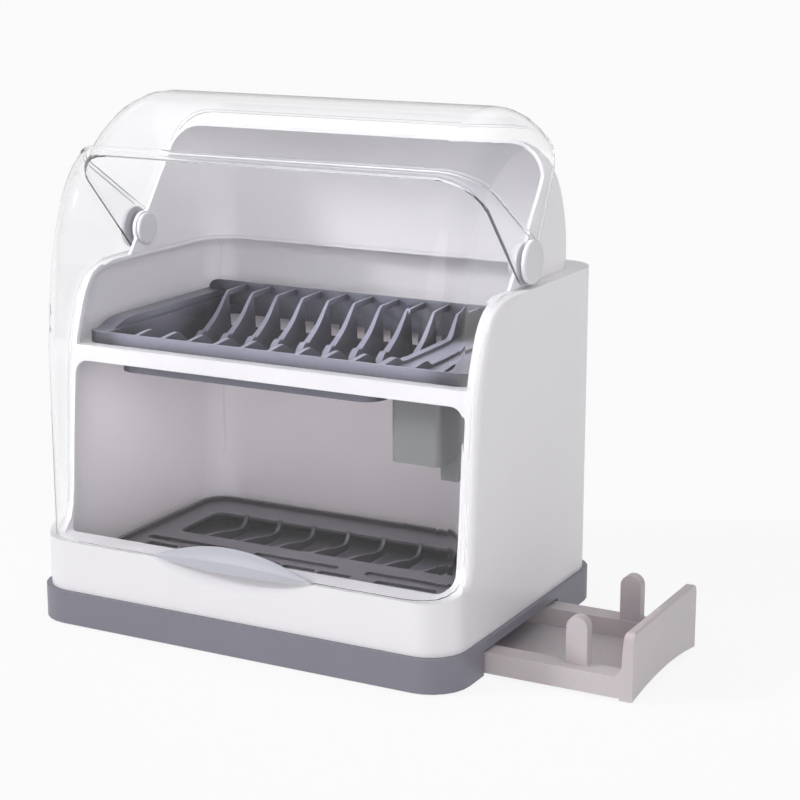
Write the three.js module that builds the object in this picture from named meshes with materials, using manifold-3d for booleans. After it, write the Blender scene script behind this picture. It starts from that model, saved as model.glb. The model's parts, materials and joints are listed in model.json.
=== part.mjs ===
// Two-tier dish rack with telescoping clear covers and a pull-out side holder.
// Millimetres, +X to the right, +Y to the back, +Z up. The origin lies on the worktop, under the
// middle of the whole rack with its side holder out. Pieces are drawn about the middle of the base.
import * as THREE from "three";
import { mergeVertices } from "three/addons/utils/BufferGeometryUtils.js";
import Module from "manifold-3d";

const wasm = await Module();
wasm.setup();

// Clearances and the overrun that every cut uses.
const seatGap = 0.2;
const fitGap = 0.3;
const overrun = 6;

// Base: a water tray with a skirt that hides the side holder.
const baseWidth = 406;
const baseDepth = 297;
const baseHeight = 30;
const baseRadius = 34;
const baseSkirt = 4;
const trayDrop = 8;
const trayFloor = 2;
const lipWall = 1.5;
const lipHeight = 3;

// Housing: side walls, back, front wall and the S-shaped front edge, in two tiers.
const housingInset = 4;
const housingRadius = 32;
const housingWall = 3;
const frontWallHeight = 44;
const lowerTierHeight = 147;
const upperTierHeight = 66;
const edgeRim = 4;
const rimWidth = 13;
const openingRadius = 12;
const openingSill = 0.8;
const barHeight = 13;
const barDepth = 9;
const runnerWidth = 8;
const runnerHeight = 3.5;
const scoopHalfWidth = 80;
const scoopHeight = 19;
const scoopDepth = 9;
const scoopWall = 2;
// The front edge as shares of the housing's depth and of its height above the front wall.
const edgeShares = [
  [0, 0], [0.055, 0.008], [0.105, 0.034], [0.135, 0.084], [0.15, 0.3],
  [0.164, 0.51], [0.182, 0.715], [0.21, 0.83], [0.24, 0.915], [0.285, 0.972], [0.36, 1],
];

// Shelf between the tiers, with the rails of the cutlery holder under it.
const shelfThick = 3.5;
const shelfOpeningGap = 1.5;
const railTail = 14;
const railWall = 2;
const railFoot = 5;
const railFootThick = 1.8;

// Pivot line of both covers, from the middle of the base and above the housing.
const pivotY = 9;
const pivotRise = 21;

// Upper shell: the white back cowl on the ledge of the housing.
const ledgeWidth = 13.5;
const ledgeRear = 18;
const shellWall = 3;
const shellRadius = 33;
const shellFootReach = 23;
const shellBossRadius = 15;
// Side profile from the top front edge down to the ledge: angle about the pivot line, and share of
// the hood's radius.
const shellProfileShares = [
  [62.5, 0.836], [52.7, 0.892], [42.6, 0.927], [30.8, 0.94], [19.7, 0.942], [9.5, 0.948], [0, 0.955],
];
// Front edge as shares of the way from its foot to the top front edge.
const shellFrontShares = [[0, 0], [0.43, 0.345], [0.915, 0.76], [1, 1]];

// Covers: telescoping hood and visor about the one pivot line.
const coverWall = 2.2;
const coverGap = 1.8;
const hoodInset = 30.5;
const hoodCorner = 36;
const hoodFrontAngle = 142;
const hoodRearAngle = 55;
const eyeRadius = 20;
const eyeDrop = 40;
const visorCorner = 34;
const visorTopAngle = 138.5;
const visorBendRun = 19.7;
const visorBendLead = 30;
const regionLead = 6;
const profileSpare = 25;
// Largest radius of the visor as a share of the distance from the pivot line to the front plane.
const visorSwellShare = 1.0725;
// Angle about the pivot line and share of the growth from the top radius to the largest one.
const visorBulgeShares = [
  [147, 0.12], [157, 0.197], [166, 0.247], [174, 0.331], [184, 0.479], [194, 0.697], [203, 1],
];
const visorFoot = 1.3;
const visorEdgeGap = 1;

// Pivot hardware.
const pinRadius = 4;
const pinRound = 0.8;
const knobRadius = 18.5;
const knobThick = 4.2;
const knobRound = 1.2;
const capRadius = 14;
const capThick = 4;

// Handle on the foot of the visor: a lens seen from the front, with a lip to pull.
const handleHalfWidth = 76;
const handleHeight = 21;
const handleReach = 9;
const handleLip = 3;
const handleDrop = 3;
const handleEndShare = 0.06;
const handleWaistShares = [0.4, 0.35];
const scoopEndShare = 0.02;
const scoopSlopeShare = 0.4;

// Upper rack: ribbed plate rack with a sunk tub.
const rackSideGap = 1.5;
const rackFrontSetback = 63.5;
const rackRearSetback = 17;
const rackWall = 2.5;
const rackRimHeight = 10.3;
const rackBackHeight = 25.3;
const rackBackCorner = 9;
const rackSideHeight = 17.3;
const rackSideWidth = 17;
const rackCorner = 8;
const rearFlange = 8;
const tubRoomRight = 87;
const tubSetback = 13;
const tubDrop = 13;
const tubCorner = 18;
// Front end of a raised side: distance behind the rack's front and share of the rise above the rim.
const rackSideShares = [[0.066, 0], [0.105, 0.42], [0.14, 0.72], [0.175, 0.92], [0.215, 1]];
const ribCount = 12;
const ribLead = 24.8;
const ribTail = 10.6;
const ribThick = 2.2;
const ribRoot = 8;
const ribFloorGap = 2.5;
const finDrop = 1.5;
// Hump, valley and fin of a rib as shares of its length and of its height above the tub's underside.
const humpShares = [
  [0, 0.66], [0.0465, 0.68], [0.1, 0.7], [0.166, 0.715], [0.2, 0.65], [0.235, 0.54], [0.28, 0.34],
  [0.33, 0.16], [0.5, 0.1], [0.53, 0.16], [0.553, 0.305], [0.588, 0.395], [0.606, 0.365],
  [0.653, 0.456], [0.706, 0.579],
  [0.742, 0.69], [0.772, 0.806], [0.8, 0.91], [0.822, 0.985],
];
const drainSide = 9.6;
const drainBridge = 8;
const drainRows = 3;
const drainMargin = 27.5;
const windowWidth = 11.5;
const windowHeight = 11.3;
const windowSill = 9.5;

// Lower rack: slotted tray insert with sagging plate bars.
const lowerSideGap = 4;
const lowerSetback = 33.5;
const lowerRackHeight = 20.8;
const lowerRimHeight = 3.5;
const lowerRimWidth = 4;
const lowerWall = 2.5;
const lowerCorner = 24;
const bayRoomLeft = 30;
const bayRoomRight = 40;
const bayRoomRear = 40;
const bayDepthShare = 0.302;
const bayRadius = 8;
const barsCount = 7;
const barsLead = 31;
const barsTail = 43.4;
const barsWidth = 3.6;
const barsThick = 6;
const barsSag = 8.5;
const longSlotCount = 3;
const longSlotLead = 58;
const longSlotTail = 82;
const longSlotBridge = 28;
const longSlotWidth = 9;
const longSlotSetback = 21;
const shortSlotCount = 6;
const shortSlotRows = 3;
const shortSlotLead = 41;
const shortSlotTail = 146;
const shortSlotBridge = 3.4;
const shortSlotWidth = 11;
const shortSlotSetback = 38;
const shortSlotMargin = 43;
const endSlotAside = 76;
const endSlotLength = 60;
// Top of a plate bar as shares of the bay's depth and of its sag.
const barsShares = [[0, 0], [0.3, -0.3], [0.6, -0.78], [0.8, -1], [0.92, -0.9], [0.98, -0.35], [1, 0.2]];

// Cutlery holder hung on the rails under the shelf.
const cutleryAside = 32.5;
const cutleryWidth = 45;
const cutlerySetback = 19;
const cutleryDepth = 86;
const cutleryHeight = 59.2;
const cutleryDeepHeight = 82.2;
const cutleryDeepWidth = 22;
const cutleryDeepDepth = 44;
const cutleryWall = 2;
const cutleryFlange = 4;
const cutleryCorner = 5;
const cutlerySill = 6;
const drainHole = 5;
const drainHolePitch = 13;

// Side holder and its channel under the tray.
const holderSetback = 62.5;
const holderRearSetback = 94.5;
const holderReach = 125.5;
const holderLength = 218.5;
const holderTravel = 62;
const travelSpare = 8;
const holderLift = 2.6;
const holderFloor = 2;
const railWidth = 19;
const railRoom = 2;
const railShell = 2.5;
const endWallThick = 8;
const endWallTaper = 3;
const endWallRound = 2.5;
const endWallTop = 57;
const endWallCorner = 8;
const endWallFoot = 1;
const endArch = 6;
const sweepRadius = 6;
const postInset = 52;
const postFrontInset = 16;
const postRearInset = 11;
const postWidth = 18;
const postDepth = 10;
const postTop = 59;
const lugLength = 6;
const lugWidth = 1.4;
const channelPlay = 2;
const channelWall = 2;
const channelFloor = 1.4;
const stopLength = 7;
const mouthGap = 2.5;

// Rubber feet pressed under the corners of the base.
const footRadius = 6;
const footInset = 20;
const footThick = 1.5;

// Facets per quarter turn for large and small rounds, and points along the free curves.
const largeSteps = 6;
const smallSteps = 3;
const edgeSteps = 26;
const bulgeSteps = 32;
const shellSteps = 18;
const ribSteps = 36;
const sagSteps = 12;
const lensSteps = 14;

// Values worked out from the sizes above.
const trayUnder = baseHeight - trayDrop;
const trayTop = trayUnder + trayFloor;
const housingPlanRadius = housingRadius + housingInset;
const lipInset = housingInset + housingWall + fitGap;
const housingHalfWidth = baseWidth / 2 - housingInset;
const housingFront = -baseDepth / 2 + housingInset;
const housingBack = -housingFront;
const housingFoot = baseHeight + seatGap;
const housingDepth = housingBack - housingFront;
const rimInner = housingHalfWidth - rimWidth;
const frontWallTop = baseHeight + frontWallHeight;
const barUnder = frontWallTop + lowerTierHeight;
const barTop = barUnder + barHeight;
const housingTop = barTop + upperTierHeight;
const shelfTop = barTop - seatGap;
const shelfUnder = shelfTop - shelfThick;
const pivotZ = housingTop + pivotRise;
const visorReach = pivotY - housingFront;
const hoodRadius = visorReach - hoodInset;
const shellHalfWidth = housingHalfWidth - ledgeWidth;
const shellBack = housingBack - ledgeRear;
const hoodHalfWidth = shellHalfWidth + coverGap + coverWall;
const visorHalfWidth = hoodHalfWidth + coverGap + coverWall;
const visorTopRadius = hoodRadius + coverGap + coverWall;
const rackFloor = barTop + seatGap;
const rackHalfWidth = shellHalfWidth - shellWall - rackSideGap;
const rackFront = housingFront + rackFrontSetback;
const rackBack = shellBack - rackRearSetback;
const rackInner = rackHalfWidth - rackSideWidth;
const tubLeft = -rackInner;
const tubRight = rackHalfWidth - tubRoomRight;
const tubFront = rackFront + tubSetback;
const tubUnder = barUnder - tubDrop;
const ribFirst = -rackInner + ribLead;
const ribPitch = (2 * rackInner - ribLead - ribTail) / (ribCount - 1);
const drainWidth = ribPitch - drainSide;
const drainPitch = (rackBack - tubFront - drainMargin) / drainRows;
const drainLength = drainPitch - drainBridge;
const lowerHalfWidth = rimInner - lowerSideGap;
const lowerFront = housingFront + lowerSetback;
const lowerBack = housingBack - lowerSetback;
const lowerTop = trayTop + seatGap + lowerRackHeight;
const bayLeft = -lowerHalfWidth + bayRoomLeft;
const bayRight = lowerHalfWidth - bayRoomRight;
const bayDepth = (lowerBack - lowerFront) * bayDepthShare;
const bayFront = lowerBack - bayRoomRear - bayDepth;
const barsFirst = bayLeft + barsLead;
const barsPitch = (bayRight - bayLeft - barsLead - barsTail) / (barsCount - 1);
const longSlotFirst = -lowerHalfWidth + longSlotLead;
const longSlotPitch = (2 * lowerHalfWidth - longSlotLead - longSlotTail) / (longSlotCount - 1);
const shortSlotFirst = -lowerHalfWidth + shortSlotLead;
const shortSlotPitch = (2 * lowerHalfWidth - shortSlotLead - shortSlotTail) / (shortSlotCount - 1);
const shortSlotRowPitch = (bayFront - lowerFront - shortSlotMargin) / shortSlotRows;
const endSlotMiddle = lowerHalfWidth - endSlotAside;
const cutleryCentre = tubRight + cutleryAside;
const cutleryFront = rackFront + cutlerySetback;
const cutleryTop = barUnder - coverGap;
const cutleryUnder = cutleryTop - cutleryHeight;
const cutleryDeepUnder = cutleryTop - cutleryDeepHeight;
const holderFront = -baseDepth / 2 + holderSetback;
const holderRear = baseDepth / 2 - holderRearSetback;
const holderOuter = baseWidth / 2 + holderReach;
const holderInner = holderOuter - holderLength;
const channelInner = holderInner - holderTravel - travelSpare;
const railTop = trayUnder - railRoom;

const toRadians = (degrees) => THREE.MathUtils.degToRad(degrees);

// Points of an arc in a plane, from one angle to another in degrees.
function arc(x, y, radius, from, to, steps) {
  return Array.from({ length: steps + 1 }, (_, i) => {
    const angle = toRadians(from + ((to - from) * i) / steps);
    return new THREE.Vector2(x + radius * Math.cos(angle), y + radius * Math.sin(angle));
  });
}

// Outline of a small circle.
const disc = (x, y, radius) => arc(x, y, radius, 0, 360, 4 * smallSteps).slice(1);

// Outline of a rectangle with all four corners rounded.
function roundedBox(x0, x1, y0, y1, radius, steps = smallSteps) {
  return [
    ...arc(x1 - radius, y0 + radius, radius, -90, 0, steps),
    ...arc(x1 - radius, y1 - radius, radius, 0, 90, steps),
    ...arc(x0 + radius, y1 - radius, radius, 90, 180, steps),
    ...arc(x0 + radius, y0 + radius, radius, 180, 270, steps),
  ];
}

const vectors = (pairs) => pairs.map(([x, y]) => new THREE.Vector2(x, y));

// Extrudes an outline in the plane of the first two axes along the third.
function extrude(points, from, to, axes) {
  const geometry = new THREE.ExtrudeGeometry(new THREE.Shape(points), {
    depth: to - from,
    bevelEnabled: false,
    steps: 1,
  });
  geometry.translate(0, 0, from);
  if (axes) geometry.applyMatrix4(new THREE.Matrix4().makeBasis(...axes));
  return solid(geometry);
}

const X = new THREE.Vector3(1, 0, 0);
const Y = new THREE.Vector3(0, 1, 0);
const Z = new THREE.Vector3(0, 0, 1);

// Outline in X and Y raised from one height to another.
const upright = (points, from, to) => extrude(points, from, to);
// Outline in Y and Z drawn across from one X to another.
const across = (points, from, to) => extrude(points, from, to, [Y, Z, X]);
// Outline in X and Z drawn back from one Y to another.
const backward = (points, from, to) => {
  const turned = points.map((p) => new THREE.Vector2(p.y, p.x));
  return extrude(turned, from, to, [Z, X, Y]);
};

const block = (x0, x1, y0, y1, z0, z1) => upright(vectors([[x0, y0], [x1, y0], [x1, y1], [x0, y1]]), z0, z1);

// Closed body of a geometry, ready to be joined or cut.
function solid(geometry) {
  const bare = geometry.index ? geometry.toNonIndexed() : geometry;
  bare.deleteAttribute("normal");
  bare.deleteAttribute("uv");
  const merged = mergeVertices(bare, 1e-4);
  return new wasm.Manifold(new wasm.Mesh({
    numProp: 3,
    vertProperties: new Float32Array(merged.attributes.position.array),
    triVerts: new Uint32Array(merged.index.array),
  }));
}

const join = (first, ...others) => others.reduce((body, other) => body.add(other), first);
const cut = (first, ...others) => others.reduce((body, other) => body.subtract(other), first);

// Body through a row of closed outlines with equally many points, each an array of Vector3.
function loft(rings) {
  const positions = rings.flat().flatMap((p) => [p.x, p.y, p.z]);
  const count = rings[0].length;
  const faces = [];
  for (let r = 0; r + 1 < rings.length; r += 1) {
    for (let i = 0; i < count; i += 1) {
      const a = r * count + i;
      const b = r * count + ((i + 1) % count);
      faces.push(a, b, b + count, a, b + count, a + count);
    }
  }
  const cap = THREE.ShapeUtils.triangulateShape(rings[0].map((p) => new THREE.Vector2(p.y, p.z)), []);
  const last = (rings.length - 1) * count;
  for (const [a, b, c] of cap) {
    faces.push(a, c, b);
    faces.push(last + a, last + b, last + c);
  }
  const geometry = new THREE.BufferGeometry();
  geometry.setAttribute("position", new THREE.Float32BufferAttribute(positions, 3));
  geometry.setIndex(faces);
  const body = solid(geometry);
  if (body.volume() > 0) return body;
  geometry.setIndex(faces.map((_, i) => faces[i - (i % 3) + (2 - (i % 3))]));
  return solid(geometry);
}

// Moves each point of an open line sideways by a distance, to the left of its direction.
function offsetLine(points, distance) {
  return points.map((p, i) => {
    const before = points[Math.max(i - 1, 0)];
    const after = points[Math.min(i + 1, points.length - 1)];
    const along = after.clone().sub(before).normalize();
    return new THREE.Vector2(p.x - along.y * distance, p.y + along.x * distance);
  });
}

// Smooth line through points given as pairs.
const smooth = (pairs, steps) => new THREE.SplineCurve(vectors(pairs)).getPoints(steps);

// Cover shape: a side profile swept across, with its ends rounded inward by a corner radius.
function roundedSweep(profile, closing, halfWidth, corner, wall) {
  const rings = [];
  const ring = (x, inset) => {
    const line = offsetLine(profile, inset);
    rings.push([...line, ...closing(line)].map((p) => new THREE.Vector3(x, p.x, p.y)));
  };
  for (let i = 0; i <= largeSteps; i += 1) {
    const angle = toRadians((90 * i) / largeSteps);
    const x = halfWidth - corner + (corner - wall) * Math.cos(angle);
    ring(-x, corner - (corner - wall) * Math.sin(angle));
  }
  for (let i = largeSteps; i >= 0; i -= 1) {
    const angle = toRadians((90 * i) / largeSteps);
    const x = halfWidth - corner + (corner - wall) * Math.cos(angle);
    ring(x, corner - (corner - wall) * Math.sin(angle));
  }
  return loft(rings);
}

const plan = (inset, radius) => {
  const x = baseWidth / 2 - inset;
  const y = baseDepth / 2 - inset;
  return roundedBox(-x, x, -y, y, radius - inset, largeSteps);
};

// Front edge of the housing, from the front wall up to the ledge, in Y and Z.
const frontEdge = smooth(
  edgeShares.map(([back, up]) => [
    housingFront + back * housingDepth,
    frontWallTop + up * (housingTop - frontWallTop),
  ]),
  edgeSteps,
);

const frontY = (z) => {
  const i = frontEdge.findIndex((p) => p.y >= z);
  const [a, b] = [frontEdge[i - 1], frontEdge[i]];
  return a.x + ((b.x - a.x) * (z - a.y)) / (b.y - a.y);
};

function waterBase() {
  const lipTop = baseHeight + lipHeight;
  const outer = join(
    upright(plan(0, baseRadius), footThick - fitGap, baseHeight),
    upright(plan(lipInset, housingPlanRadius), trayTop, lipTop),
  );
  const tray = upright(plan(lipInset + lipWall, housingPlanRadius), trayTop, lipTop + overrun);
  const under = upright(plan(baseSkirt, baseRadius), -overrun, trayUnder);
  const mouth = block(
    baseWidth / 2 - baseSkirt - overrun, baseWidth / 2 + overrun,
    holderFront - mouthGap, holderRear + mouthGap, -overrun, trayUnder,
  );
  const posts = Object.values(footPlaces).map(([x, y]) =>
    upright(disc(x, y, footRadius), footThick, trayUnder + trayFloor / 2));
  return join(cut(outer, tray, under, mouth), ...posts);
}

const footX = baseWidth / 2 - footInset;
const footY = baseDepth / 2 - footInset;
const footPlaces = {
  front_left: [-footX, -footY],
  front_right: [footX, -footY],
  rear_right: [footX, footY],
  rear_left: [-footX, footY],
};

const baseFoot = ([x, y]) => upright(disc(x, y, footRadius), 0, footThick);

// Region behind the front edge, set back by a distance, from one height down to another.
function behindEdge(setback, top, bottom, front) {
  const line = offsetLine(frontEdge, -setback).filter((p) => p.x > front && p.y < top);
  return [
    new THREE.Vector2(front, bottom), new THREE.Vector2(front, line[0].y), ...line,
    new THREE.Vector2(line[line.length - 1].x + overrun, top),
    new THREE.Vector2(housingBack + overrun, top), new THREE.Vector2(housingBack + overrun, bottom),
  ];
}

// Lens-shaped finger recess under the handle, or its wall when grown by a margin.
function fingerScoop(grow) {
  const rings = [];
  for (let i = 0; i <= lensSteps; i += 1) {
    const along = (2 * i) / lensSteps - 1;
    const share = Math.max(1 - along * along, scoopEndShare);
    const x = along * (scoopHalfWidth + grow);
    const deep = housingFront + scoopDepth * share + grow;
    const low = frontWallTop - (scoopHeight + grow) * share;
    rings.push(vectors([
      [housingFront - overrun, frontWallTop + overrun], [housingFront - overrun, low],
      [housingFront, low], [deep, frontWallTop - scoopHeight * share * scoopSlopeShare],
      [deep, frontWallTop + overrun],
    ]).map((p) => new THREE.Vector3(x, p.x, p.y)));
  }
  return loft(rings);
}

function housing() {
  const wide = housingHalfWidth + overrun;
  const outline = upright(plan(housingInset, housingPlanRadius), housingFoot, housingTop);
  const side = behindEdge(0, housingTop + overrun, housingFoot - overrun, housingFront - overrun);
  const outer = outline.intersect(across(side, -wide, wide));
  const hollowPlan = plan(housingInset + housingWall, housingPlanRadius);
  const hollowSide = behindEdge(
    edgeRim, housingTop - housingWall, housingFoot - overrun, housingFront + housingWall,
  );
  const hollow = upright(hollowPlan, housingFoot - overrun, housingTop)
    .intersect(across(hollowSide, -wide, wide))
    .subtract(fingerScoop(scoopWall));
  const sill = frontWallTop + openingSill;
  const backFace = housingBack - housingWall - overrun;
  const lower = backward(
    roundedBox(-rimInner, rimInner, sill, barUnder, openingRadius, largeSteps), housingFront, backFace,
  );
  const upper = block(-rimInner, rimInner, housingFront, backFace, barTop, housingTop - housingWall);
  const ledgeInner = shellHalfWidth - shellWall - seatGap;
  const ledgeBack = shellBack - shellWall - seatGap;
  const top = upright(
    roundedBox(-ledgeInner, ledgeInner, housingFront - ledgeBack, ledgeBack, shellRadius, largeSteps),
    barTop + overrun, housingTop + overrun,
  );
  const barFront = frontY(barUnder + barHeight / 2);
  const bar = block(-rimInner, rimInner, barFront, barFront + barDepth, barUnder, barTop)
    .intersect(across(side, -wide, wide));
  const inner = housingHalfWidth - housingWall;
  const runnerTop = shelfUnder - seatGap;
  const runners = [-1, 1].map((sign) => {
    const edges = [sign * (inner + housingWall / 2), sign * (inner - runnerWidth)];
    return block(
      Math.min(...edges), Math.max(...edges), barFront + barDepth, housingBack - baseRadius,
      runnerTop - runnerHeight, runnerTop,
    );
  });
  return join(cut(outer, hollow, lower, upper, top), bar, ...runners).subtract(fingerScoop(0));
}

function midShelf() {
  const front = frontY(barUnder + barHeight / 2) + barDepth + fitGap;
  const inner = housingHalfWidth - housingWall - fitGap;
  const back = housingBack - housingWall - fitGap;
  const corner = housingRadius - housingWall;
  const sheet = upright([
    new THREE.Vector2(-inner, front), new THREE.Vector2(inner, front),
    ...arc(inner - corner, back - corner, corner, 0, 90, largeSteps),
    ...arc(-inner + corner, back - corner, corner, 90, 180, largeSteps),
  ], shelfUnder, shelfTop);
  const opening = upright(roundedBox(
    tubLeft - shelfOpeningGap, tubRight + shelfOpeningGap,
    tubFront - shelfOpeningGap, rackBack + shelfOpeningGap, tubCorner,
  ), shelfUnder - overrun, shelfTop + overrun);
  const window = upright(roundedBox(
    cutleryCentre - cutleryWidth / 2 + cutleryWall, cutleryCentre + cutleryWidth / 2 - cutleryWall,
    cutleryFront + cutlerySill, cutleryFront + cutleryDepth - cutlerySill, cutleryCorner,
  ), shelfUnder - overrun, shelfTop + overrun);
  const rails = [-1, 1].map((sign) => cutleryRail(sign));
  return join(cut(sheet, opening, window), ...rails);
}

// L-shaped rail that carries one flange of the cutlery holder.
function cutleryRail(sign) {
  const flangeEdge = cutleryWidth / 2 + cutleryFlange + fitGap;
  const footTop = cutleryTop - cutleryWall - seatGap;
  const foot = footTop - railFootThick;
  const profile = vectors([
    [flangeEdge, shelfUnder + shelfThick / 2], [flangeEdge, footTop],
    [flangeEdge - cutleryFlange + fitGap, footTop], [flangeEdge - cutleryFlange + fitGap, foot],
    [flangeEdge + railWall, foot], [flangeEdge + railWall, shelfUnder + shelfThick / 2],
  ]).map((p) => new THREE.Vector2(cutleryCentre + sign * p.x, p.y));
  const points = sign > 0 ? profile : profile.reverse();
  return backward(points, cutleryFront - railFoot, cutleryFront - railFoot + cutleryDepth + railTail);
}

function upperShell() {
  const foot = housingTop + seatGap;
  const rim = polar(hoodRadius * shellProfileShares[0][1], shellProfileShares[0][0]);
  const turned = shellProfileShares.map(([angle, share]) => polar(hoodRadius * share, angle).toArray());
  const profile = smooth([...turned, [shellBack, foot]], shellSteps);
  const line = [...profile, new THREE.Vector2(shellBack, housingTop - overrun)].reverse();
  const front = pivotY - shellFootReach;
  const closing = (points) => [
    new THREE.Vector2(front - hoodRadius, points[points.length - 1].y),
    new THREE.Vector2(front - hoodRadius, points[0].y),
  ];
  const outer = roundedSweep(line, closing, shellHalfWidth, shellRadius, 0);
  const inner = roundedSweep(line, closing, shellHalfWidth, shellRadius, shellWall);
  const frontLine = shellFrontShares.map(([back, up]) => [
    front + back * (rim.x - front), foot + up * (rim.y - foot),
  ]);
  const [far, high] = [shellBack + overrun, rim.y + overrun];
  const region = vectors([...frontLine, [rim.x, high], [far, high], [far, foot]]);
  const wide = shellHalfWidth + overrun;
  const boss = arc(pivotY, pivotZ, shellBossRadius, 0, 360, 4 * largeSteps).slice(1);
  const mask = join(across(region, -wide, wide), across(boss, -wide, wide));
  return outer.subtract(inner).intersect(mask).subtract(pivotHole(wide));
}

const pivotHole = (wide) =>
  across(arc(pivotY, pivotZ, pinRadius + fitGap, 0, 360, 4 * smallSteps).slice(1), -wide, wide);

const polar = (radius, degrees) => new THREE.Vector2(
  pivotY + radius * Math.cos(toRadians(degrees)), pivotZ + radius * Math.sin(toRadians(degrees)),
);

// Angle between the line to a rim point and the tangent from there to the eye.
const tangentAngle = (radius) => THREE.MathUtils.radToDeg(Math.acos(eyeRadius / radius));

function hood() {
  const line = arc(
    pivotY, pivotZ, hoodRadius, hoodRearAngle - profileSpare, hoodFrontAngle + profileSpare, 4 * largeSteps,
  );
  const low = pivotZ - eyeDrop;
  const closing = (points) => [
    new THREE.Vector2(points[points.length - 1].x, low), new THREE.Vector2(points[0].x, low),
  ];
  const outer = roundedSweep(line, closing, hoodHalfWidth, hoodCorner, 0);
  const inner = roundedSweep(line, closing, hoodHalfWidth, hoodCorner, coverWall);
  const far = hoodRadius + 2 * overrun;
  const turn = tangentAngle(hoodRadius);
  const beyond = (rim, tangent) => {
    const edge = polar(hoodRadius, rim);
    const foot = polar(eyeRadius, tangent);
    return edge.clone().add(edge.clone().sub(foot).setLength(2 * overrun));
  };
  const region = [
    beyond(hoodRearAngle, hoodRearAngle - turn),
    ...arc(pivotY, pivotZ, far, hoodRearAngle + regionLead, hoodFrontAngle - regionLead, largeSteps),
    beyond(hoodFrontAngle, hoodFrontAngle + turn),
    ...arc(pivotY, pivotZ, eyeRadius, hoodFrontAngle + turn, 360 + hoodRearAngle - turn, 2 * largeSteps),
  ];
  const wide = hoodHalfWidth + overrun;
  return outer.subtract(inner).intersect(across(region, -wide, wide)).subtract(pivotHole(wide));
}

// Side profile of the visor from its foot up over the hood.
function visorLine() {
  const growth = visorReach * visorSwellShare - visorTopRadius;
  const bulge = visorBulgeShares.map(([angle, share]) =>
    polar(visorTopRadius + growth * share, angle).toArray()).reverse();
  const visorBend = bulge[0][1] - visorBendRun;
  const start = polar(visorTopRadius, visorTopAngle);
  const lead = [housingFront, visorBend - visorBendLead];
  const bend = [housingFront, visorBend];
  const curved = smooth([lead, bend, ...bulge, [start.x, start.y]], bulgeSteps)
    .filter((p) => p.y > visorBend);
  const over = arc(
    pivotY, pivotZ, visorTopRadius, visorTopAngle, visorTopAngle - profileSpare, largeSteps,
  ).slice(1);
  return [new THREE.Vector2(housingFront, baseHeight), new THREE.Vector2(...bend), ...curved, ...over];
}

function visorRegion() {
  const turn = tangentAngle(visorTopRadius);
  const edge = polar(visorTopRadius, visorTopAngle);
  const foot = polar(eyeRadius, visorTopAngle - turn);
  const beyond = edge.clone().add(edge.clone().sub(foot).setLength(2 * overrun));
  const seam = offsetLine(frontEdge, visorEdgeGap);
  const floor = housingTop + visorEdgeGap;
  const kept = seam.filter((p) => p.y < floor && p.x > housingFront + overrun);
  const eyeLow = THREE.MathUtils.radToDeg(Math.asin((floor - pivotZ) / eyeRadius));
  return [
    ...arc(pivotY, pivotZ, eyeRadius, eyeLow, visorTopAngle - turn, 2 * largeSteps),
    beyond,
    new THREE.Vector2(housingFront - overrun, beyond.y),
    new THREE.Vector2(housingFront - overrun, frontWallTop + visorFoot),
    ...kept,
    new THREE.Vector2(kept[kept.length - 1].x + overrun, floor),
  ];
}

function visor() {
  const line = visorLine().reverse();
  const closing = (points) => [
    new THREE.Vector2(pivotY + eyeDrop, points[points.length - 1].y),
    new THREE.Vector2(pivotY + eyeDrop, points[0].y),
  ];
  const outer = roundedSweep(line, closing, visorHalfWidth, visorCorner, 0);
  const inner = roundedSweep(line, closing, visorHalfWidth, visorCorner, coverWall);
  const wide = visorHalfWidth + overrun;
  return outer.subtract(inner).intersect(across(visorRegion(), -wide, wide)).subtract(pivotHole(wide));
}

function visorHandle() {
  const face = housingFront - seatGap;
  const [waistOut, waistUp] = handleWaistShares;
  const foot = frontWallTop + visorFoot;
  const rings = Array.from({ length: lensSteps + 1 }, (_, i) => {
    const along = (2 * i) / lensSteps - 1;
    const share = Math.max(1 - along * along, handleEndShare);
    const low = foot - handleDrop * share;
    const top = low + handleHeight * share;
    const out = face - handleReach * share;
    return vectors([
      [face, low], [face, top], [face - handleLip * share / 2, top],
      [face - handleReach * share * waistOut, foot + handleHeight * share * waistUp],
      [out, low + handleLip * share], [out, low],
    ]).map((p) => new THREE.Vector3(along * handleHalfWidth, p.x, p.y));
  });
  return loft(rings);
}

// Round body about the pivot line, from one X to another, with one rounded rim.
function pivotDisc(from, to, radius, round) {
  const sign = Math.sign(to - from);
  const profile = vectors([
    [0, 0], [radius, 0], [radius, Math.abs(to - from) - round],
    [radius - round, Math.abs(to - from)], [0, Math.abs(to - from)],
  ]);
  const geometry = new THREE.LatheGeometry(profile, 4 * largeSteps);
  geometry.rotateZ(-Math.PI / 2 * sign);
  geometry.translate(from, pivotY, pivotZ);
  return solid(geometry);
}

const knobFrom = visorHalfWidth + fitGap;
const pivotKnob = (sign) => pivotDisc(sign * knobFrom, sign * (knobFrom + knobThick), knobRadius, knobRound);
const capTo = shellHalfWidth - shellWall - fitGap;
const innerCap = (sign) => pivotDisc(sign * capTo, sign * (capTo - capThick), capRadius, knobRound);
const pivotPin = (sign) =>
  pivotDisc(sign * (capTo + seatGap), sign * (knobFrom - seatGap), pinRadius, pinRound);

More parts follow.
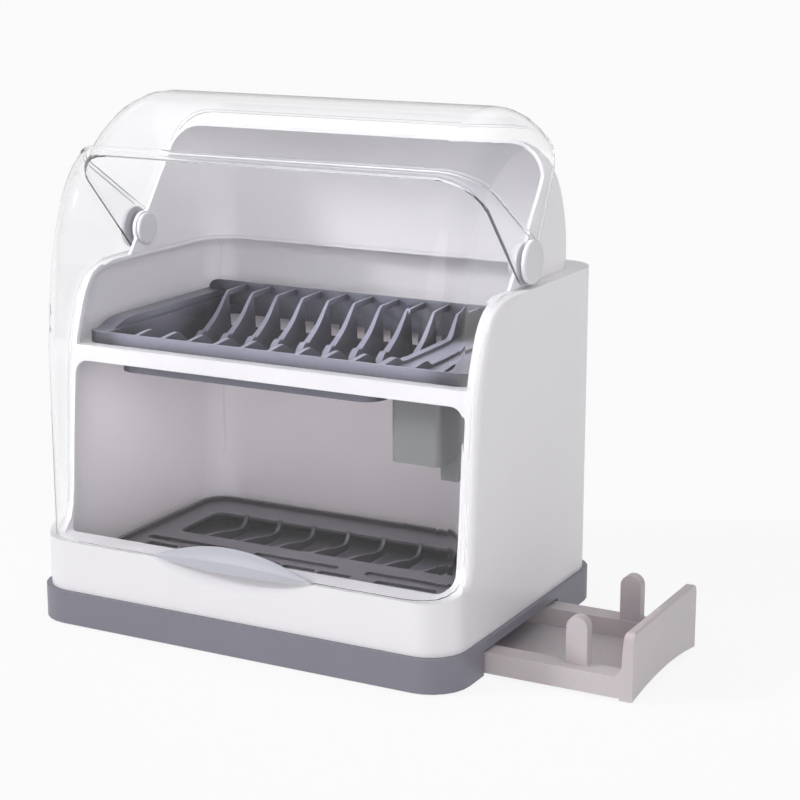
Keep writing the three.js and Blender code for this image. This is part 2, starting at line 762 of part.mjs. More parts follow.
// Side profile of one rib of the upper rack, in Y and Z: a low hump in front, a tall fin behind.
function ribProfile(inTub) {
  const finTop = rackFloor + rackBackHeight - finDrop;
  const back = rackBack - rackWall / 2;
  const front = rackFront + rackWall / 2;
  const floor = (inTub ? tubUnder : rackFloor) + rackWall / 2;
  const top = smooth(humpShares.map(([along, up]) => [
    front + along * (back - front), tubUnder + up * (finTop - tubUnder),
  ]), ribSteps).map((p) => new THREE.Vector2(p.x, Math.max(p.y, floor + rackWall / 2 + ribFloorGap)));
  const under = inTub
    ? [[back, floor], [tubFront + rackWall / 2, floor], [tubFront + rackWall / 2, rackFloor + rackWall / 2]]
    : [[back, floor]];
  const start = new THREE.Vector2(front, rackFloor + rackWall / 2);
  return [...top, new THREE.Vector2(back, finTop), ...vectors(under), start].reverse();
}

// Rib that is thin on top and thicker at its root.
function rackRib(x, inTub) {
  const low = inTub ? tubUnder : rackFloor;
  const high = rackFloor + rackBackHeight;
  const wedge = vectors([
    [x - ribRoot / 2, low], [x + ribRoot / 2, low], [x + ribThick / 2, high], [x - ribThick / 2, high],
  ]);
  return across(ribProfile(inTub), x - ribRoot, x + ribRoot).intersect(backward(wedge, rackFront, rackBack));
}

// Raised side of the upper rack, drawn in by an inset, from a lower height up.
function rackSide(sign, inset, bottom) {
  const rimTop = rackFloor + rackRimHeight;
  const rise = rackSideHeight - rackRimHeight;
  const length = rackBack - rackFront;
  const front = rackSideShares.map(([along, up]) => [
    rackFront + along * length + inset, rimTop + up * rise - inset,
  ]);
  const back = rackBack - inset;
  const foot = rackFront + rackCorner / 2 + inset;
  const profile = vectors([
    [foot, bottom], [back, bottom], [back, rimTop + rise - inset], ...front.reverse(),
    [foot, rimTop - inset],
  ]);
  const edges = [sign * (rackHalfWidth - inset), sign * (rackInner + inset)];
  return across(profile, Math.min(...edges), Math.max(...edges));
}

function upperRack() {
  const rimTop = rackFloor + rackRimHeight;
  const backTop = rackFloor + rackBackHeight;
  const outline = (inset) => roundedBox(
    -rackHalfWidth + inset, rackHalfWidth - inset, rackFront + inset, rackBack + rearFlange - inset,
    rackCorner - inset / 2,
  );
  const flange = upright(outline(0), rackFloor, rackFloor + rackWall);
  const walls = upright(
    roundedBox(-rackHalfWidth, rackHalfWidth, rackFront, rackBack, rackCorner), rackFloor, rimTop,
  );
  const bay = block(
    -rackInner + rackWall, rackInner, rackFront + rackWall, rackBack - rackWall,
    rackFloor + rackWall, backTop,
  );
  const sides = [-1, 1].map((sign) => rackSide(sign, 0, rackFloor));
  const hollows = [-1, 1].map((sign) => rackSide(sign, rackWall, rackFloor - overrun));
  const backWall = backward(
    roundedBox(-rackHalfWidth, rackHalfWidth, tubUnder + rackWall, backTop, rackBackCorner),
    rackBack - rackWall, rackBack,
  ).intersect(join(
    block(tubLeft + tubCorner, tubRight - tubCorner, rackFront, rackBack, tubUnder, backTop),
    block(-rackHalfWidth, rackHalfWidth, rackFront, rackBack, rackFloor, backTop),
  ));
  const tub = (inset) => roundedBox(
    tubLeft + inset, tubRight - inset, tubFront + inset, rackBack - inset, tubCorner - inset, 2 * smallSteps,
  );
  const tubOuter = upright(tub(0), tubUnder, rackFloor + rackWall);
  const tubInner = upright(tub(rackWall), tubUnder + rackWall, backTop);
  const frame = cut(join(flange, walls, ...sides), bay, ...hollows);
  const body = join(frame, tubOuter, backWall).subtract(tubInner);
  const ribs = [];
  const cuts = [];
  for (let i = 0; i < ribCount; i += 1) {
    const x = ribFirst + i * ribPitch;
    const inTub = x < tubRight;
    ribs.push(rackRib(x, inTub));
    const gap = x - ribPitch / 2;
    if (inTub && gap - drainWidth / 2 > tubLeft + rackWall) cuts.push(...rackCuts(gap, i > 0));
  }
  return cut(join(body, ...ribs), ...cuts);
}

// Window in the back of one plate slot, and the drain slots in its floor.
function rackCuts(gap, withDrains) {
  const sill = tubUnder + windowSill;
  const window = block(
    gap - windowWidth / 2, gap + windowWidth / 2, rackBack - tubCorner, rackBack + overrun,
    sill, sill + windowHeight,
  );
  if (!withDrains) return [window];
  const drains = Array.from({ length: drainRows }, (_, row) => {
    const y = tubFront + 2 * rackWall + row * drainPitch;
    return block(
      gap - drainWidth / 2, gap + drainWidth / 2, y, y + drainLength,
      tubUnder - overrun, tubUnder + 2 * rackWall,
    );
  });
  return [window, ...drains];
}

// Bar of the lower rack that sags between its ends, in Y and Z.
function plateBar(x) {
  const line = barsShares.map(([back, up]) => [bayFront + back * bayDepth, lowerTop + up * barsSag]);
  const top = smooth(line, sagSteps);
  const [front, back] = [bayFront - lowerWall, bayFront + bayDepth + lowerWall];
  const deep = lowerTop - barsSag - barsThick;
  const outline = [
    new THREE.Vector2(front, lowerTop - lowerWall / 2), ...top,
    new THREE.Vector2(back, lowerTop - lowerWall / 2), new THREE.Vector2(back, deep + barsThick / 2),
    new THREE.Vector2(back - barsThick, deep), new THREE.Vector2(front + bayDepth / 2, deep),
    new THREE.Vector2(front, lowerTop - lowerWall * 2),
  ];
  return across(outline.reverse(), x - barsWidth / 2, x + barsWidth / 2);
}

function lowerRack() {
  const outline = (inset) => roundedBox(
    -lowerHalfWidth + inset, lowerHalfWidth - inset, lowerFront + inset, lowerBack - inset,
    lowerCorner - inset, largeSteps,
  );
  const foot = trayTop + seatGap;
  const outer = upright(outline(0), foot, lowerTop + lowerRimHeight);
  const inside = upright(outline(lowerWall), foot - overrun, lowerTop - lowerWall);
  const dish = upright(outline(lowerRimWidth), lowerTop, lowerTop + lowerRimHeight + overrun);
  const slot = (x, y, length, width) => upright(
    roundedBox(x - length / 2, x + length / 2, y - width, y, width / 4, 2), foot, lowerTop + overrun,
  );
  const longBack = bayFront - longSlotSetback;
  const longLength = longSlotPitch - longSlotBridge;
  const shortLength = shortSlotPitch - shortSlotBridge;
  const cuts = [upright(
    roundedBox(bayLeft, bayRight, bayFront, bayFront + bayDepth, bayRadius), foot, lowerTop + overrun,
  )];
  for (let i = 0; i < longSlotCount; i += 1) {
    cuts.push(slot(longSlotFirst + i * longSlotPitch, longBack, longLength, longSlotWidth));
  }
  for (let row = 0; row < shortSlotRows; row += 1) {
    const y = bayFront - shortSlotSetback - row * shortSlotRowPitch;
    for (let i = 0; i < shortSlotCount; i += 1) {
      cuts.push(slot(shortSlotFirst + i * shortSlotPitch, y, shortLength, shortSlotWidth));
    }
    cuts.push(slot(endSlotMiddle, y, endSlotLength, shortSlotWidth));
  }
  const bars = Array.from({ length: barsCount }, (_, i) => plateBar(barsFirst + i * barsPitch));
  return join(cut(outer, inside, dish, ...cuts), ...bars);
}

function cutleryHolder() {
  const half = cutleryWidth / 2;
  const [x0, x1] = [cutleryCentre - half, cutleryCentre + half];
  const back = cutleryFront + cutleryDepth;
  const deepX = x1 - cutleryDeepWidth;
  const deepY = back - cutleryDeepDepth;
  const box = (inset, top) => {
    const plan = (x, y) => roundedBox(x + inset, x1 - inset, y + inset, back - inset, cutleryCorner - inset);
    return join(
      upright(plan(x0, cutleryFront), cutleryUnder + inset, top),
      upright(plan(deepX, deepY), cutleryDeepUnder + inset, top),
    );
  };
  const outer = box(0, cutleryTop);
  const inner = box(cutleryWall, cutleryTop + overrun);
  const flange = block(
    x0 - cutleryFlange, x1 + cutleryFlange, cutleryFront, back, cutleryTop - cutleryWall, cutleryTop,
  );
  const holes = [];
  for (let y = deepY + drainHolePitch / 2; y < back - cutleryWall - drainHole; y += drainHolePitch) {
    holes.push(upright(
      arc(x1 - cutleryDeepWidth / 2, y + drainHole / 2, drainHole / 2, 0, 360, 2 * smallSteps).slice(1),
      cutleryDeepUnder - overrun, cutleryDeepUnder + 2 * cutleryWall,
    ));
  }
  return cut(join(outer, flange), inner, ...holes);
}

function holderChannel() {
  const front = holderFront - channelPlay;
  const back = holderRear + channelPlay;
  const end = baseWidth / 2 - baseSkirt - fitGap;
  const bottom = holderLift - seatGap - channelFloor;
  const floor = block(
    channelInner, end, front - channelWall, back + channelWall, bottom, bottom + channelFloor,
  );
  const walls = [front - channelWall, back].map((y) =>
    block(channelInner, end, y, y + channelWall, bottom, trayUnder - seatGap));
  const stops = [
    block(end - stopLength, end, front - channelWall / 2, front + lugWidth, bottom, railTop),
    block(end - stopLength, end, back - lugWidth, back + channelWall / 2, bottom, railTop),
  ];
  return join(floor, ...walls, ...stops);
}

function sideHolder() {
  const wallInner = holderOuter - endWallThick - endWallTaper;
  const floor = block(
    holderInner, wallInner + railShell, holderFront + railShell, holderRear - railShell,
    holderLift, holderLift + holderFloor,
  );
  const rail = (y0, y1) => cut(
    backward(railOutline(wallInner), y0, y1),
    block(holderInner - overrun, wallInner, y0 + railShell, y1 - railShell, -overrun, railTop - railShell),
  );
  const face = roundedBox(holderFront, holderRear, endWallFoot - endWallCorner, endWallTop, endWallCorner);
  const end = backward(endOutline(), holderFront, holderRear)
    .intersect(across(face, wallInner, holderOuter))
    .subtract(across(archOutline(), wallInner - overrun, holderOuter + overrun));
  const posts = [holderFront + postFrontInset, holderRear - postRearInset].map((y) =>
    backward(postOutline(), y - postDepth / 2, y + postDepth / 2));
  const stopX = baseWidth / 2 - baseSkirt - fitGap - stopLength - fitGap;
  const lug = (y0, y1) => block(stopX - lugLength, stopX, y0, y1, holderLift, railTop - railShell);
  return join(
    floor, end, ...posts,
    rail(holderFront, holderFront + railWidth), rail(holderRear - railWidth, holderRear),
    lug(holderFront - lugWidth, holderFront + railShell), lug(holderRear - railShell, holderRear + lugWidth),
  );
}

// End wall seen from the front: a straight outer face, a sloping inner face and a rounded top.
function endOutline() {
  const inner = holderOuter - endWallThick;
  return [
    new THREE.Vector2(inner - endWallTaper, endWallFoot), new THREE.Vector2(holderOuter, endWallFoot),
    ...arc(holderOuter - endWallRound, endWallTop - endWallRound, endWallRound, 0, 90, smallSteps),
    ...arc(inner + endWallRound, endWallTop - endWallRound, endWallRound, 90, 180, smallSteps),
  ];
}

// Rail seen from the front, with its sweep up to the end wall.
function railOutline(wallInner) {
  return [
    new THREE.Vector2(holderInner, holderLift), new THREE.Vector2(wallInner + railShell, holderLift),
    new THREE.Vector2(wallInner + railShell, railTop + sweepRadius),
    ...arc(wallInner - sweepRadius, railTop + sweepRadius, sweepRadius, 0, -90, smallSteps),
    new THREE.Vector2(holderInner, railTop),
  ];
}

function postOutline() {
  const centre = holderOuter - postInset;
  const radius = postWidth / 2;
  return [
    new THREE.Vector2(centre - radius, holderLift + holderFloor / 2),
    new THREE.Vector2(centre + radius, holderLift + holderFloor / 2),
    ...arc(centre, postTop - radius, radius, 0, 180, 2 * largeSteps),
  ];
}

// Shallow arch under the end wall.
function archOutline() {
  const half = (holderRear - holderFront) / 2;
  const middle = (holderRear + holderFront) / 2;
  const radius = (half * half + endArch * endArch) / (2 * endArch);
  const sweep = THREE.MathUtils.radToDeg(Math.asin(half / radius));
  return [
    ...arc(middle, endWallFoot + endArch - radius, radius, 90 - sweep, 90 + sweep, 2 * largeSteps),
    new THREE.Vector2(middle - half, -overrun), new THREE.Vector2(middle + half, -overrun),
  ];
}

const white = { color: 0xe9e9ec, roughness: 0.35, metalness: 0 };
const grey = { color: 0x7f7e8b, roughness: 0.45, metalness: 0 };
const clear = { color: 0xdfe6ea, roughness: 0.08, metalness: 0, transparent: true, opacity: 0.35 };
const pearl = { color: 0xdfdee2, roughness: 0.3, metalness: 0 };
const blueGrey = { color: 0x8c8c9e, roughness: 0.5, metalness: 0 };
const darkGrey = { color: 0x55525a, roughness: 0.55, metalness: 0 };
const midGrey = { color: 0x8e8f92, roughness: 0.5, metalness: 0 };
const rubber = { color: 0x2c2c2e, roughness: 0.9, metalness: 0 };

// Named mesh of a solid, with its geometry kept relative to its own reference point.
function piece(name, body, finish, place = [0, 0, 0]) {
  const data = body.getMesh();
  const geometry = new THREE.BufferGeometry();
  geometry.setAttribute("position", new THREE.Float32BufferAttribute(data.vertProperties, 3));
  geometry.setIndex(new THREE.Uint32BufferAttribute(data.triVerts, 1));
  geometry.translate(-place[0], -place[1], -place[2]);
  const mesh = new THREE.Mesh(geometry, new THREE.MeshStandardMaterial(finish));
  mesh.name = name;
  mesh.position.set(...place);
  return mesh;
}

// Middle of the whole rack, seen from the middle of the base.
const middleX = (holderOuter - baseWidth / 2) / 2;
const middleY = (housingFront - seatGap - handleReach + baseDepth / 2) / 2;

const rack = new THREE.Group();
rack.position.set(-middleX, -middleY, 0);
const pivot = [0, pivotY, pivotZ];
rack.add(
  piece("water_base", waterBase(), grey),
  piece("holder_channel", holderChannel(), grey, [baseWidth / 2, 0, 0]),
  piece("side_holder", sideHolder(), pearl, [baseWidth / 2, 0, 0]),
  piece("housing", housing(), white, [0, 0, baseHeight]),
  piece("mid_shelf", midShelf(), white, [0, 0, shelfTop]),
  piece("upper_shell", upperShell(), white, [0, 0, housingTop]),
  piece("hood", hood(), clear, pivot),
  piece("visor", visor(), clear, pivot),
  piece("visor_handle", visorHandle(), pearl, [0, housingFront, frontWallTop]),
  piece("upper_rack", upperRack(), blueGrey, [0, 0, rackFloor]),
  piece("lower_rack", lowerRack(), darkGrey, [0, 0, trayTop]),
  piece("cutlery_holder", cutleryHolder(), midGrey, [cutleryCentre, cutleryFront, cutleryTop]),
);
for (const [corner, place] of Object.entries(footPlaces)) {
  rack.add(piece(`base_foot_${corner}`, baseFoot(place), rubber, [...place, 0]));
}
for (const [side, sign] of [["right", 1], ["left", -1]]) {
  rack.add(
    piece(`pivot_knob_${side}`, pivotKnob(sign), pearl, pivot),
    piece(`pivot_pin_${side}`, pivotPin(sign), midGrey, pivot),
    piece(`inner_cap_${side}`, innerCap(sign), pearl, pivot),
  );
}

export default rack;
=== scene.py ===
"""Two-tier dish rack: the visual model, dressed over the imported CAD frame.

Sizes are in millimetres about the middle of the base, as a maker would draw them, and are turned to
metres in the part's frame when a mesh is made. Every surface is worked out on numpy arrays.
"""
from __future__ import annotations

import json
import logging
import math
from dataclasses import dataclass
from enum import Enum
from typing import Any

import bmesh
import bpy
import numpy as np
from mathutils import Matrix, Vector

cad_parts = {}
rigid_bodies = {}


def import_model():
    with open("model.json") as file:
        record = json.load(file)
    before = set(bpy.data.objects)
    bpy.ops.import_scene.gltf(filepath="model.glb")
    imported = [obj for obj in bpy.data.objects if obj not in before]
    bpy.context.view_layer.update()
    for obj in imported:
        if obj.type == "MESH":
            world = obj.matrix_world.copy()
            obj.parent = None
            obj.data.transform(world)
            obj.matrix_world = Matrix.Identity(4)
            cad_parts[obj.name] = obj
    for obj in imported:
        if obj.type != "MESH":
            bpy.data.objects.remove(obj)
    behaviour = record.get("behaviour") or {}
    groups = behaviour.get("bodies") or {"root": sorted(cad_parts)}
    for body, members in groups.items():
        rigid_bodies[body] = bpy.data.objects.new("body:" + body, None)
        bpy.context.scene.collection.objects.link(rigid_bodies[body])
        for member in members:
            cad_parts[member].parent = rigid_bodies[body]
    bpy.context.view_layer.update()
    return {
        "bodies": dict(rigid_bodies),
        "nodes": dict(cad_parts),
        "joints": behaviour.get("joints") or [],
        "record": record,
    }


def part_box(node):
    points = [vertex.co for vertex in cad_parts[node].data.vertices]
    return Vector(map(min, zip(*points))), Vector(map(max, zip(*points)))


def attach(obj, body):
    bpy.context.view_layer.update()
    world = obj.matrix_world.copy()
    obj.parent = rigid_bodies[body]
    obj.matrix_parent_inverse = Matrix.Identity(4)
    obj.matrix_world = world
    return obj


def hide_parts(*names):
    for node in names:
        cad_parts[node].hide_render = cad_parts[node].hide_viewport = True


LOG = logging.getLogger("dish_rack")
WHITE = "FFFFFF"

# One millimetre, and the distance below which two corners are one, both in metres.
MM = 0.001
MERGE = 0.00001


def linear(code: str) -> tuple[float, float, float, float]:
    """Turns an sRGB hex colour to linear light.

    A share c becomes c / 12.92 up to 0.04045, and ((c + 0.055) / 1.055) ^ 2.4 above it.

    Args:
        code: Six hex digits, such as "E9E9EC".

    Returns:
        Linear red, green and blue, and an alpha of 1.
    """
    parts = np.array([int(code[i : i + 2], 16) for i in (0, 2, 4)], float) / 255
    light = np.where(parts <= 0.04045, parts / 12.92, ((parts + 0.055) / 1.055) ** 2.4)
    return (float(light[0]), float(light[1]), float(light[2]), 1.0)


def add_node(
    tree: bpy.types.NodeTree,
    kind: str,
    fields: dict[str, Any] | None = None,
    sockets: dict[str | int, Any] | None = None,
) -> bpy.types.Node:
    """Adds a node with its settings, and links or sets its inputs.

    Args:
        tree: Tree that gets the node.
        kind: Blender's name of the node type.
        fields: Settings of the node.
        sockets: Inputs by name or number; an output socket is linked, a plain value is set.

    Returns:
        The new node.
    """
    node = tree.nodes.new(kind)
    for name, value in (fields or {}).items():
        setattr(node, name, value)
    for name, value in (sockets or {}).items():
        if isinstance(value, bpy.types.NodeSocket):
            tree.links.new(value, node.inputs[name])
        else:
            node.inputs[name].default_value = value
    return node


def blank_material(name: str) -> tuple[bpy.types.Material, bpy.types.NodeTree]:
    """Makes a material with an empty node tree.

    Args:
        name: Name of the material.

    Returns:
        The material and its tree.
    """
    material = bpy.data.materials.new(name)
    material.use_nodes = True
    material.node_tree.nodes.clear()
    return material, material.node_tree


def stand(name: str, data: bpy.types.Mesh | bpy.types.Camera | bpy.types.Light) -> bpy.types.Object:
    """Makes an object of a mesh, camera or lamp and puts it in the scene.

    Args:
        name: Name of the object.
        data: What the object shows.

    Returns:
        The new object, at the origin.
    """
    made = bpy.data.objects.new(name, data)
    bpy.context.scene.collection.objects.link(made)
    return made


class Texture(Enum):
    """How the mould's surface was finished; the value is the spread in roughness that this leaves."""

    POLISHED = 0.05
    SPARKED = 0.1


class Carving(Enum):
    """What a tool does to a piece; the value is Blender's name for it."""

    KEEP_INSIDE = "INTERSECT"
    CUT_AWAY = "DIFFERENCE"


@dataclass(frozen=True)
class MouldedPlastic:
    """Opaque injection-moulded plastic, mostly ABS or polypropylene.

    Attributes:
        name: Name of the material.
        slot: Slot of the record that it fills.
        colour: sRGB colour of the plain surface.
        shade: sRGB colour along the flow marks.
        roughness: Middle roughness of the surface.
        texture: Finish of the mould.
        grain: Size of the grain in millimetres, drawn coarser than a mould leaves it, so that it shows.
        depth: Height of the grain in millimetres.
        relief: Strength of the grain's relief.
        flow: Size of the flow marks in millimetres.
        ior: Index of refraction.
        subsurface: Share of the light that enters the plastic.
        bleed: How far that light travels in it, in millimetres.
        hollow: How much painted shade darkens the deepest hollows, as a share.
        reach: Distance in millimetres within which neighbours shade a hollow.
        shut: Open share of the sky at which a hollow is darkest.
        clear: Open share of the sky from which the colour stays as it is.
    """

    name: str
    slot: str
    colour: str
    shade: str
    roughness: float
    texture: Texture = Texture.SPARKED
    grain: float = 0.9
    depth: float = 0.012
    relief: float = 0.6
    flow: float = 70.0
    ior: float = 1.5
    subsurface: float = 0.0
    bleed: float = 4.0
    hollow: float = 0.0
    reach: float = 28.0
    shut: float = 0.48
    clear: float = 0.95

    def make(self) -> bpy.types.Material:
        """Builds the material: slow flow marks in the colour, a fine grain in roughness and bump, and
        painted shade in the hollows where it is set.

        Returns:
            The material.
        """
        material, tree = blank_material(self.name)
        place = add_node(tree, "ShaderNodeTexCoord").outputs["Object"]
        flow = add_node(
            tree, "ShaderNodeTexNoise", None,
            {"Vector": place, "Scale": 1 / (self.flow * MM), "Detail": 3.0, "Roughness": 0.55},
        )
        # Inputs 6 and 7 of a colour mix are its two colours, and output 2 is the mixed one.
        tint = add_node(
            tree, "ShaderNodeMix", {"data_type": "RGBA"},
            {0: flow.outputs["Fac"], 6: linear(self.colour), 7: linear(self.shade)},
        )
        # Painted shade: where hollow is set, ambient occlusion darkens the colour in the hollows.
        base = self.painted_hollow_shade(tree, tint.outputs[2]) if self.hollow else tint.outputs[2]
        grain = add_node(
            tree, "ShaderNodeTexNoise", None,
            {"Vector": place, "Scale": 1 / (self.grain * MM), "Detail": 2.0},
        )
        spread = self.texture.value
        rough = add_node(
            tree, "ShaderNodeMapRange", None,
            {
                "Value": grain.outputs["Fac"], "To Min": self.roughness - spread / 2,
                "To Max": self.roughness + spread,
            },
        )
        bump = add_node(
            tree, "ShaderNodeBump", None,
            {"Height": grain.outputs["Fac"], "Distance": self.depth * MM, "Strength": self.relief},
        )
        shader = add_node(
            tree, "ShaderNodeBsdfPrincipled", None,
            {
                "Base Color": base, "Roughness": rough.outputs[0], "IOR": self.ior,
                "Normal": bump.outputs["Normal"], "Subsurface Weight": self.subsurface,
                "Subsurface Scale": self.bleed * MM,
            },
        )
        add_node(tree, "ShaderNodeOutputMaterial", None, {"Surface": shader.outputs[0]})
        return material

    def painted_hollow_shade(self, tree: bpy.types.NodeTree, colour: bpy.types.NodeSocket) -> bpy.types.NodeSocket:
        """Paints shade into a colour where the surface lies deep between its neighbours, as ambient
        occlusion finds them.

        Args:
            tree: Tree of the material.
            colour: Colour of the open surface.

        Returns:
            The colour, times 1 - hollow in the deepest places.
        """
        # Ambient occlusion sets the painted shade: the less open sky near the surface, the darker the
        # colour.
        sky = add_node(tree, "ShaderNodeAmbientOcclusion", {"samples": 4}, {"Distance": self.reach * MM})
        gain = add_node(
            tree, "ShaderNodeMapRange", None,
            {
                "Value": sky.outputs["AO"], "From Min": self.shut, "From Max": self.clear,
                "To Min": 1 - self.hollow, "To Max": 1.0,
            },
        )
        scaled = add_node(
            tree, "ShaderNodeVectorMath", {"operation": "SCALE"}, {0: colour, "Scale": gain.outputs[0]}
        )
        return scaled.outputs[0]


@dataclass(frozen=True)
class ClearPlastic:
    """Transparent polycarbonate or PET, moulded and polished, slightly wavy as thin walls are.

    Attributes:
        name: Name of the material.
        slot: Slot of the record that it fills.
        colour: sRGB colour of what shines through.
        roughness: Roughness of the polished surface.
        ior: Index of refraction, matched to the photo; both faces of a thin wall mirror the room.
        specular: Level of the mirrored light.
        wave: Size of the waves in millimetres.
        depth: Height of the waves in millimetres.
        relief: Strength of the waves.
    """

    name: str
    slot: str
    colour: str
    roughness: float = 0.02
    ior: float = 1.34
    specular: float = 0.27
    wave: float = 55.0
    depth: float = 0.05
    relief: float = 0.5

    def make(self) -> bpy.types.Material:
        """Builds the material: clear glassy shader with slow waves, and lamps shine through it.

        Returns:
            The material.
        """
        material, tree = blank_material(self.name)
        place = add_node(tree, "ShaderNodeTexCoord").outputs["Object"]
        wave = add_node(
            tree, "ShaderNodeTexNoise", None,
            {"Vector": place, "Scale": 1 / (self.wave * MM), "Detail": 2.0},
        )
        bump = add_node(
            tree, "ShaderNodeBump", None,
            {"Height": wave.outputs["Fac"], "Distance": self.depth * MM, "Strength": self.relief},
        )
        shader = add_node(
            tree, "ShaderNodeBsdfPrincipled", None,
            {
                "Base Color": linear(self.colour), "Roughness": self.roughness, "IOR": self.ior,
                "Specular IOR Level": self.specular, "Transmission Weight": 1.0,
                "Normal": bump.outputs["Normal"],
            },
        )
        through = add_node(tree, "ShaderNodeBsdfTransparent", None, {"Color": linear(self.colour)})
        lamp = add_node(tree, "ShaderNodeLightPath").outputs["Is Shadow Ray"]
        mixed = add_node(
            tree, "ShaderNodeMixShader", None, {0: lamp, 1: shader.outputs[0], 2: through.outputs[0]}
        )
        add_node(tree, "ShaderNodeOutputMaterial", None, {"Surface": mixed.outputs[0]})
        return material


Plastic = MouldedPlastic | ClearPlastic

# White ABS from a polished mould: bright and smooth, with wide soft highlights along its edges.
BODY_WHITE = MouldedPlastic("gloss_white_abs", "body_white", "F5F3F6", "F0EEF1", 0.3, Texture.POLISHED)

# Grey polypropylene from a spark-eroded mould: an even satin that carries no sharp highlight.
BASE_GREY = MouldedPlastic("satin_grey_pp", "base_grey", "878590", "7F7D89", 0.42)

# The same plastic in blue grey: light edges on the ribs, and slots that fall off into deep shade, partly
# painted into the colour of the hollows.
RACK_GREY = MouldedPlastic(
    "satin_blue_grey_pp", "rack_grey", "ACACBF", "A2A2B4", 0.34, hollow=0.93, reach=60.0
)

# The same plastic in dark grey: the tops of the bars stand out from the sink below them, which painted
# shade darkens.
RACK_DARK = MouldedPlastic(
    "satin_dark_grey_pp", "rack_dark", "726E76", "66636B", 0.36, hollow=0.95, reach=40.0
)

# The same plastic in a middle grey: plain and even, for the hanging holder and the pins.
HOLDER_GREY = MouldedPlastic("satin_mid_grey_pp", "holder_grey", "8A8B8C", "828384", 0.4)

# ABS with a pearl pigment: a touch greyer and glossier than the body, so the knobs stand out on it.
PEARL = MouldedPlastic("pearl_white_abs", "pearl_white", "E6E5E9", "DDDCE1", 0.28, Texture.POLISHED)

# The handle's deeper pearl: a cool grey whose gloss shows the ridge and the hollow above it.
PEARL_GREY = MouldedPlastic(
    "pearl_grey_abs", "pearl_white", "C9CAD3", "C0C1CC", 0.22, Texture.POLISHED
)

# Unfilled polypropylene: light enters it, which makes its walls look milky and softens their shade.
MILKY = MouldedPlastic(
    "milky_translucent_pp", "frosted_white", "CFC8CB", "C6BFC2", 0.3, Texture.POLISHED, subsurface=0.4
)

# Moulded rubber: nearly black and dull.
RUBBER = MouldedPlastic("matte_rubber", "foot_rubber", "2C2C2E", "262628", 0.8)

# Clear polished plastic: seen by its rims and by faint, slightly wavy reflections.
CLEAR = ClearPlastic("clear_polycarbonate", "clear_cover", "FDFDFE")


def shift_line(line: np.ndarray, depth: float) -> np.ndarray:
    """Moves an open line sideways, to the right of its direction, by a depth.

    Each point moves along the mean of its two neighbours' normals, stretched so that straight runs
    keep the full depth: shift = depth * (n1 + n2) / (1 + n1 . n2).

    Args:
        line: Points, one row each.
        depth: Distance in the line's unit.

    Returns:
        The moved points.
    """
    step = np.diff(line, axis=0)
    step /= np.linalg.norm(step, axis=1)[:, None]
    normal = np.column_stack([step[:, 1], -step[:, 0]])
    before, after = np.vstack([normal[:1], normal]), np.vstack([normal, normal[-1:]])
    stretch = 1 + (before * after).sum(axis=1)
    return line + depth * (before + after) / stretch[:, None]


def closed_loft(rings: np.ndarray) -> tuple[np.ndarray, list[list[int]]]:
    """Joins closed rings of equal length into one closed body with flat ends.

    Point j of ring i has the number i * size + j, and each side face joins j and j + 1 of two rings.

    Args:
        rings: Array of ring, point and coordinate.

    Returns:
        Vertices and faces.
    """
    count, size = rings.shape[:2]
    number = np.arange(count * size).reshape(count, size)
    right = np.roll(number, -1, axis=1)
    sides = np.stack([number[:-1], number[1:], right[1:], right[:-1]], axis=2).reshape(-1, 4)
    return rings.reshape(-1, 3), [*sides.tolist(), number[0].tolist(), number[-1, ::-1].tolist()]


